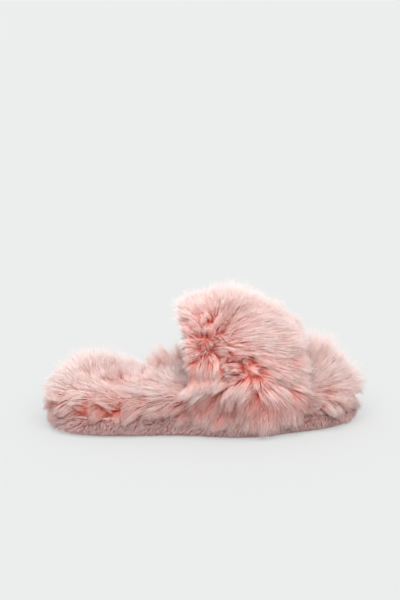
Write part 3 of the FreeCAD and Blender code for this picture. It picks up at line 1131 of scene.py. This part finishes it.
@dataclass
class Footbed:
    """The cushion with its fur cover. Offsets are outwards from the insole board's edge."""

    plan: SolePlan
    tree: FurTree
    finish: FurFinish
    density: float = 1.6e6
    curled: float = 0.6         # how strongly the curls turn the lay,
    curl_root: float = 0.16     # show the hair's root colour,
    curl_dip: float = 0.2       # and shorten the pile
    heel_to: float = -62.0
    waist_to: float = 0.0
    ball_to: float = 66.0
    low: float = 16.6 * MM
    profile: tuple[tuple[float, float], ...] = (
        (-12.0, 16.6), (-5.0, 16.6), (0.6, 17.0), (1.8, 19.0), (2.3, 23.0), (2.0, 27.0), (0.6, 30.4),
        (-2.2, 32.4), (-6.0, 33.2), (-11.0, 33.6),
    )
    crown: tuple[tuple[float, float], ...] = ((0.78, 33.9), (0.56, 34.1), (0.34, 34.2), (0.14, 34.2))

    def backing(self) -> Form:
        """The sewn cover without its pile: a closed crowned form.

        Returns:
            The form.
        """
        rings = [self.plan.ring(o * MM, z * MM) for o, z in self.profile]
        rings += [self.plan.shrunk(self.profile[-1][0] * MM, s, z * MM) for s, z in self.crown]
        under = [self.plan.shrunk(self.profile[0][0] * MM, s, self.low) for s in (0.14, 0.5)]
        stack = np.array(under + rings)
        count, around = stack.shape[:2]
        faces = lofted(stack, False)
        faces += zipped(0, around, True) + zipped((count - 1) * around, around, False)
        return Form(stack.reshape(-1, 3), faces)

    def comb(self, form: Form) -> None:
        """Lays the pile: which way it leans, how long it is and its tone, which paints shade low on the sides
        and light on the top.

        Args:
            form: the backing, which gets its fields.
        """
        n = form.normals()
        z = form.points[:, 2] / MM
        groom(form, FOOTBED_OUTER + FOOTBED_INNER + FOOTBED_TOP, z > 17.5, 0.22, 5)
        curls = spots(form.points / MM, CURLS)
        form.fields["comb"] += curls[:, None] * wander(form.points, CURL_WAVE, 78) * self.curled
        form.fields["reach"] *= 1 - self.curl_root * curls
        top = ramp(n[:, 2], 0.25, 0.85)
        form.fields["pile"] *= (0.5 + 0.5 * ramp(z, 17.5, 24)) * (1 - self.curl_dip * curls)
        form.fields["pile"][z < 17.2] = 0.0
        form.fields["matting"] = 0.6 + 0.5 * (1 - top) + 1.5 * (1 - form.fields["reach"])
        noise = wander(form.points, 30 * MM, 6)[:, 1]
        # tone: darker low on the sides and paler on the top, painted shade and painted light; paler also
        # towards the toe, plus a little random tone
        tone = steps(z, 0.8, (23, 29, -0.5), (29, 33, -0.25)) - 0.45 * ramp(form.points[:, 0] / MM, 78, 96)
        form.fields["tone"] = np.clip(tone + 0.08 * noise, 0, 1)

    def build(self) -> None:
        """Builds the backing and its fur, in pieces from heel to toe."""
        form = self.backing()
        self.comb(form)
        x, y, z = form.points.T / MM
        grown = ramp(z, 17.3, 18.4)
        # under the band the fur is pressed and out of sight, so it is thinner there
        hidden = ramp(x, -2, 10) * (1 - ramp(x, 58, 70)) * ramp(z, 30, 32.5) * (1 - ramp(np.abs(y), 26, 34))
        cover = grown * (1 - 0.75 * hidden)
        form.fields["region"] = cover
        coat = FurCoat(
            density=self.density,
            settings={
                "Lock Spacing": 0.011, "Tuft Spacing": 0.0038, "Lock Pull": 0.55, "Tuft Pull": 0.55,
                "Hair Stray": 0.16, "Droop": 0.08, "Radius": 0.0002,
            },
        )
        material = self.finish.material()
        parts = {
            "footbed_fur_heel": x < self.heel_to,
            "footbed_fur_waist": (x >= self.heel_to) & (x < self.waist_to),
            "footbed_fur_ball": (x >= self.waist_to) & (x < self.ball_to),
            "footbed_fur_toe": x >= self.ball_to,
        }
        for i, (name, chosen) in enumerate(parts.items()):
            form.fields["region"] = cover * chosen
            coat.cover(form, name, ("footbed_fur", "footbed_cover"), material, self.tree, 100 + i)
        cloth = PlainFinish("fur_backing", (0.86, 0.36, 0.30), (0.74, 0.27, 0.22), Grain.KNIT, KNIT_SIZE)
        nodes = ("footbed_cover", "footbed_foam")
        back_with_cloth(form, "footbed_backing", cloth, "footbed_fur", *nodes)


@dataclass
class Rand:
    """The strip of short plush round the platform."""

    plan: SolePlan
    tree: FurTree
    finish: FurFinish
    density: float = 2.6e6
    pile: float = 7.0 * MM
    spring: float = 3.0 * MM    # the lower edge rises this much at the heel and the toe
    outer_from: float = 3.3     # points of the profile that are further out carry plush
    profile: tuple[tuple[float, float], ...] = (
        (3.05, 4.2), (3.05, 2.2), (3.6, 1.4), (4.6, 1.8), (5.5, 4.0), (6.0, 7.5), (5.8, 11.0), (4.9, 14.2),
        (3.8, 15.4),
        (3.05, 14.4), (3.05, 9.0),
    )

    def build(self) -> None:
        """Builds the strip and its plush, in two halves."""
        stack = np.array([self.plan.ring(o * MM, z * MM) for o, z in self.profile])
        low = 1 - ramp(stack[..., 2] / MM, 2, 9)
        stack[..., 2] += self.spring * low * ramp(np.abs(stack[..., 0]) / MM, 75, 130)
        form = Form(stack.reshape(-1, 3), lofted(stack, True))
        p, n = form.points, form.normals()
        z = p[:, 2] / MM
        noise = wander(p, 18 * MM, 31)
        out = unit(n * [1, 1, 0])
        outside = np.repeat([o > self.outer_from for o, _ in self.profile], stack.shape[1])
        ends = ramp(np.abs(p[:, 0]) / MM, 90, 125)
        form.fields["comb"] = noise * [0.5, 0.5, 0.2] + [-0.4, 0, -0.4]
        form.fields["lift"] = 0.8 + 0.2 * ends
        longer = 1 + 0.15 * noise[:, 1] + 0.2 * ends
        form.fields["pile"] = self.pile * longer * (0.35 + 0.65 * ramp(z, 2, 8))
        # the darker ramp all round: painted shade on this low strip, plus a little random tone
        form.fields["tone"] = np.clip(0.8 + 0.12 * noise[:, 0], 0, 1)
        form.fields["reach"] = np.ones(len(p))
        form.fields["matting"] = np.ones(len(p))
        material = self.finish.material()
        coat = FurCoat(
            density=self.density,
            settings={
                "Lock Spacing": 0.006, "Tuft Spacing": 0.0022, "Radius": 0.00022, "Segments": 2,
                "Lock Pull": 0.25, "Tuft Pull": 0.35, "Tone Spread": 0.2,
            },
        )
        grows = outside * (np.sum(n * out, axis=1) > 0.1)
        for i, (name, side) in enumerate((("rand_plush_outer_side", -1), ("rand_plush_inner_side", 1))):
            form.fields["region"] = grows * (p[:, 1] * side >= 0)
            coat.cover(form, name, ("rand_plush", "platform_wrap"), material, self.tree, 200 + i)
        cloth = PlainFinish("rand_cloth", (0.52, 0.2, 0.18), (0.38, 0.12, 0.1), Grain.KNIT, KNIT_SIZE)
        back_with_cloth(form, "rand_backing", cloth, "rand_plush", "platform_wrap")


@dataclass
class Band:
    """The padded band: outer fur, padding and plush lining, closed at its rolled edges."""

    plan: SolePlan
    tree: FurTree
    finish: FurFinish
    rear: float = -7.0 * MM
    front: float = 76.0 * MM
    lean: float = 3.5
    base: float = 16.5 * MM
    foot: float = 13.0 * MM
    crown: tuple[float, float, float] = (98.0, 102.0, 80.0)
    power: float = 2.5
    foam_offset: float = 7.5
    outside: float = 8.5
    inside: float = 2.0
    stations: int = 120
    flat: tuple[float, float] = (0.02, 0.98)
    columns: int = 26
    bend_points: int = 7
    density: float = 1.8e6
    far_density: float = 1.0e6
    ruffled: float = 0.7
    outer_to: float = -18.0
    inner_from: float = 22.0
    lining_density: float = 0.45e6
    lining_pile: float = 3.2 * MM

    def surface(self, share: Array, offset: Array, turn: Array) -> Array:
        """Points of the band's layers.

        Args:
            share: from 0 at the rear edge to 1 at the front edge.
            offset: the layer, in millimetres outwards from the board's edge.
            turn: from 0 at the inner side's base to pi at the outer side's base.

        Returns:
            Rows of points, in metres.
        """
        x = self.rear + (self.front - self.rear) * share
        rear, middle, front = self.crown
        curve = 2 * (rear - 2 * middle + front)
        height = rear + (front - rear - curve) * share + curve * share * share
        rise = (height + offset - self.foam_offset) * MM - self.base
        across = np.abs(np.cos(turn)) ** (2 / self.power)
        up = rise * np.sin(turn) ** (2 / self.power)
        width = np.array([
            self.plan.half_width(np.array([xi]), 1 if t < math.pi / 2 else -1, o * MM)[0]
            for xi, t, o in zip(x.ravel(), turn.ravel(), offset.ravel())
        ]).reshape(x.shape)
        y = np.where(turn < math.pi / 2, 1, -1) * width * across
        lean = np.tan(np.radians(self.lean * np.clip(1 - share, 0, None)))
        return np.stack([x - up * lean, y, self.base + up], axis=-1)

    def backing(self) -> tuple[Form, Array, Array]:
        """The closed band without its pile.

        Returns:
            The form, and for each point its share along the foot and its layer.
        """
        thick = (self.outside - self.inside) / 2
        span = (self.front - self.rear) / MM
        middle = (self.outside + self.inside) / 2
        first, last = self.flat
        outer = np.linspace(first, last, self.columns)
        inner = outer[::-1]
        bend = np.linspace(0, math.pi, self.bend_points + 2)[1:-1]
        front = [(last + thick * math.sin(b) / span, middle + thick * math.cos(b)) for b in bend]
        rear = [(first - thick * math.sin(b) / span, middle - thick * math.cos(b)) for b in bend]
        loop = [(s, self.outside) for s in outer] + front + [(s, self.inside) for s in inner] + rear
        turns = np.linspace(0.0, math.pi, self.stations)
        share = np.array([[s for s, _ in loop] for _ in turns])
        offset = np.array([[o for _, o in loop] for _ in turns])
        turn = np.repeat(turns[:, None], len(loop), axis=1)
        stack = self.surface(share, offset, turn)
        ends = []
        for row in (0, -1):
            for drop in (0.5, 1.0):
                low = stack[row].copy()
                low[:, 2] = self.base + (self.foot - self.base) * drop
                ends.append(low)
        stack = np.concatenate([[ends[1], ends[0]], stack, [ends[2], ends[3]]])
        count, around = stack.shape[:2]
        faces = lofted(stack, False)
        faces += [tuple(range(around))[::-1], tuple(range((count - 1) * around, count * around))]
        form = Form(stack.reshape(-1, 3), [f[::-1] for f in faces])
        shares = np.tile([s for s, _ in loop], count)
        offsets = np.tile([o for _, o in loop], count)
        return form, shares, offsets

    def comb(self, form: Form, shares: Array, offsets: Array) -> None:
        """Lays the pile: which way it leans, how long it is and its tone, which paints shade low on the sides
        and light on the top.

        Args:
            form: the backing, which gets its fields.
            shares: each point's share along the foot.
            offsets: each point's layer.
        """
        p = form.points
        y, z = p[:, 1] / MM, p[:, 2] / MM
        outer = offsets > self.outside - 1.0
        marks = [mark for face in (Face.OUTER, Face.INNER) for mark in strokes(face, *BAND_HIGH, *BAND_LOW)]
        groom(form, marks + BAND_REAR + BAND_TOP, outer & (z > 16), 0.18, 13)
        ruffle = spots(p[:, [0, 2]] / MM, WHORLS)
        form.fields["comb"] += ruffle[:, None] * wander(p, CURL_WAVE, 77) * self.ruffled
        out = ramp(offsets, self.inside + 1.0, self.outside - 0.5)
        form.fields["pile"] *= 0.3 + 0.7 * out
        outside = ramp(np.abs(y), 8, 24)
        noise = wander(p, 24 * MM, 14)[:, 0]
        # tone: darkest at 33-43 mm under the long overhanging locks and paler up to the top, painted shade
        # and painted light; darker again round the lower whorl, plus a little random tone
        tone = steps(z, 0.5, (27, 33, 0.4), (43, 48, -0.7), (57, 62, 0.2), (64, 84, -0.4))
        form.fields["tone"] = np.clip(tone + 0.08 * noise, 0, 1)
        smooth = 1 - 0.5 * ramp(shares, 0.45, 0.75) * ramp(z, 45, 60)
        matting = (0.5 + 0.7 * outside * (1 - ramp(z, 60, 95))) * smooth
        matting *= 0.6 + 0.4 * ramp(z, 40, 48)
        form.fields["matting"] = matting + 1.5 * (1 - form.fields["reach"])

    def build(self) -> None:
        """Builds the band's backing, fur and lining plush."""
        form, shares, offsets = self.backing()
        self.comb(form, shares, offsets)
        p = form.points
        z, y = p[:, 2] / MM, p[:, 1] / MM
        outer = ramp(offsets, self.inside + 0.6, self.inside + 2.0) * ramp(z, 14, 16.5)
        coat = FurCoat(
            density=self.density,
            settings={
                "Lock Spacing": 0.009, "Tuft Spacing": 0.0034, "Lock Pull": 0.5, "Tuft Pull": 0.54,
                "Hair Stray": 0.2, "Droop": 0.06, "Radius": 0.0002,
            },
        )
        material = self.finish.material()
        parts = {
            "band_fur_outer_rear": (y < self.outer_to) & (shares < 0.5),
            "band_fur_outer_front": (y < self.outer_to) & (shares >= 0.5),
            "band_fur_top": (y >= self.outer_to) & (y < self.inner_from),
            "band_fur_inner": y >= self.inner_from,
        }
        for i, (name, chosen) in enumerate(parts.items()):
            form.fields["region"] = outer * chosen
            coat.density = self.far_density if name == "band_fur_inner" else self.density
            coat.cover(form, name, ("band_fur", "band_outer"), material, self.tree, 300 + i)
        form.fields["region"] = (1 - ramp(offsets, self.inside, self.inside + 1.0)) * ramp(z, 30, 34)
        form.fields["pile"] = np.full(len(p), self.lining_pile)
        form.fields["reach"] = np.ones(len(p))
        form.fields["comb"] = wander(p, 20 * MM, 41) * 0.3
        form.fields["lift"] = np.ones(len(p))
        plush = FurCoat(
            density=self.lining_density,
            settings={"Lock Spacing": 0.006, "Tuft Spacing": 0.0025, "Radius": 0.00026, "Segments": 2},
        )
        plush.cover(form, "band_lining_plush", ("lining_plush", "band_lining"), material, self.tree, 340)
        cloth = PlainFinish("band_cloth", (0.94, 0.40, 0.33), (0.84, 0.30, 0.24), Grain.KNIT, KNIT_SIZE)
        nodes = ("band_outer", "band_foam", "band_lining")
        back_with_cloth(form, "band_backing", cloth, "band_fur", *nodes)


RUBBER = PlainFinish(
    "outsole_rubber", (0.6, 0.33, 0.3), (0.5, 0.25, 0.22), Grain.FIBRES, 4 * MM, roughness=0.65, relief=0.15
)
FELT = PlainFinish("filler_felt", (0.75, 0.72, 0.68), (0.6, 0.57, 0.53), Grain.FIBRES, 2 * MM)
FOAM = PlainFinish("platform_foam", (0.9, 0.86, 0.84), (0.8, 0.75, 0.73), Grain.PORES, 1 * MM)
BOARD = PlainFinish("fibre_board", (0.62, 0.5, 0.38), (0.45, 0.35, 0.26), Grain.FIBRES, 3 * MM)
THREAD = PlainFinish("sewing_thread", (0.75, 0.42, 0.39), (0.55, 0.27, 0.25), Grain.TWIST, 0.4 * MM)


@dataclass
class Sole:
    """The hard and hidden pieces, which keep their CAD shapes."""

    nodes: dict[str, bpy.types.Object]
    finishes: dict[str, PlainFinish] = field(default_factory=lambda: {
        "outsole": RUBBER,
        "bottom_filler": FELT,
        "platform": FOAM,
        "insole_board": BOARD,
        **dict.fromkeys(("side_seam", "band_rear_seam", "band_front_seam", "wrap_back_seam"), THREAD),
    })

    def build(self) -> None:
        """Gives each kept CAD node its finish."""
        made: dict[str, bpy.types.Material] = {}
        for name, finish in self.finishes.items():
            if finish.name not in made:
                made[finish.name] = finish.material()
            node = self.nodes[name]
            node.data.materials.clear()
            node.data.materials.append(made[finish.name])
            LOG.info("%s: kept, finish %s", name, finish.name)


# ---------------------------------------------------------------- studio


@dataclass
class Studio:
    """A pale seamless floor, soft light from above and a long lens from the side."""

    aim: tuple[float, float, float] = (-0.004, 0.0, 0.112)
    azimuth: float = -3.0
    elevation: float = 15.0
    distance: float = 2.2
    frame_height: float = 0.522
    sensor: float = 36.0
    sees_to: float = 200.0
    floor_half: float = 30.0
    floor_colour: Rgb = (0.17, 0.172, 0.171)
    floor_glow: Rgb = (0.99, 1.0, 0.995)
    floor_glow_strength: float = 0.452
    sky: Rgb = (0.97, 0.985, 1.0)
    sky_strength: float = 1.0

    def build(self) -> None:
        """Builds the floor, the lights and the camera."""
        half = self.floor_half
        corners = np.array([[-half, -half, 0], [half, -half, 0], [half, half, 0], [-half, half, 0]])
        floor = Form(corners, [(0, 1, 2, 3)]).to_object("floor")
        made, _, surface = shader("floor_paper")
        surface.inputs["Base Color"].default_value = (*self.floor_colour, 1)
        surface.inputs["Emission Color"].default_value = (*self.floor_glow, 1)
        surface.inputs["Emission Strength"].default_value = self.floor_glow_strength
        surface.inputs["Roughness"].default_value = 0.9
        surface.inputs["Specular IOR Level"].default_value = 0.1
        floor.data.materials.append(made)
        world = bpy.data.worlds.new("studio")
        world.use_nodes = True
        background = world.node_tree.nodes["Background"]
        background.inputs["Color"].default_value = (*self.sky, 1)
        background.inputs["Strength"].default_value = self.sky_strength
        bpy.context.scene.world = world
        self._sun("key", 5.0, (0, -38, 0), 60)
        camera = bpy.data.objects.new("camera", bpy.data.cameras.new("camera"))
        bpy.context.scene.collection.objects.link(camera)
        tilt = math.radians(self.elevation)
        turn = math.radians(self.azimuth)
        back = Vector((math.sin(turn) * math.cos(tilt), -math.cos(turn) * math.cos(tilt), math.sin(tilt)))
        camera.location = Vector(self.aim) + back * self.distance
        camera.rotation_euler = (-back).to_track_quat("-Z", "Y").to_euler()
        camera.data.sensor_width = self.sensor
        camera.data.lens = self.sensor * self.distance / self.frame_height
        camera.data.clip_end = self.sees_to
        bpy.context.scene.camera = camera
        bpy.context.scene.view_settings.view_transform = "Standard"

    def _sun(self, name: str, strength: float, turn: tuple[float, float, float], spread: float) -> None:
        """Adds a soft sun.

        Args:
            name: its name.
            strength: watts a square metre.
            turn: rotation about Y, X and Z, in degrees.
            spread: its size in the sky, in degrees.
        """
        lamp = bpy.data.lights.new(name, "SUN")
        lamp.energy = strength
        lamp.angle = math.radians(spread)
        made = bpy.data.objects.new(name, lamp)
        made.rotation_euler = (math.radians(-turn[1]), math.radians(turn[0]), math.radians(turn[2]))
        bpy.context.scene.collection.objects.link(made)


def main() -> None:
    """Builds everything in order."""
    logging.basicConfig(level=logging.INFO, format="%(name)s %(message)s")
    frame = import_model()
    plan = SolePlan(frame["nodes"]["insole_board"])
    tree = FurTree()
    Studio().build()
    Sole(frame["nodes"]).build()
    # a darker copy of the band's fur: painted shade on the low strip round the platform
    rand = FurFinish(
        "rand_fur", pale_middle=(0.80, 0.50, 0.46), pale_tip=(0.76, 0.62, 0.60),
        dusky_and_shade_middle=(0.76, 0.46, 0.43), dusky_and_shade_tip=(0.75, 0.57, 0.56), middle_at=0.35,
    )
    Rand(plan, tree, rand).build()
    # a darker copy of the band's fur: painted shade on the footbed below the band
    footbed = FurFinish(
        "footbed_fur", pale_middle=(0.88, 0.63, 0.58), pale_tip=(0.81, 0.74, 0.72),
        dusky_and_shade_middle=(0.85, 0.41, 0.35), dusky_and_shade_tip=(0.79, 0.57, 0.54),
    )
    Footbed(plan, tree, footbed).build()
    Band(plan, tree, FurFinish("band_fur")).build()


if __name__ == "__main__":
    main()
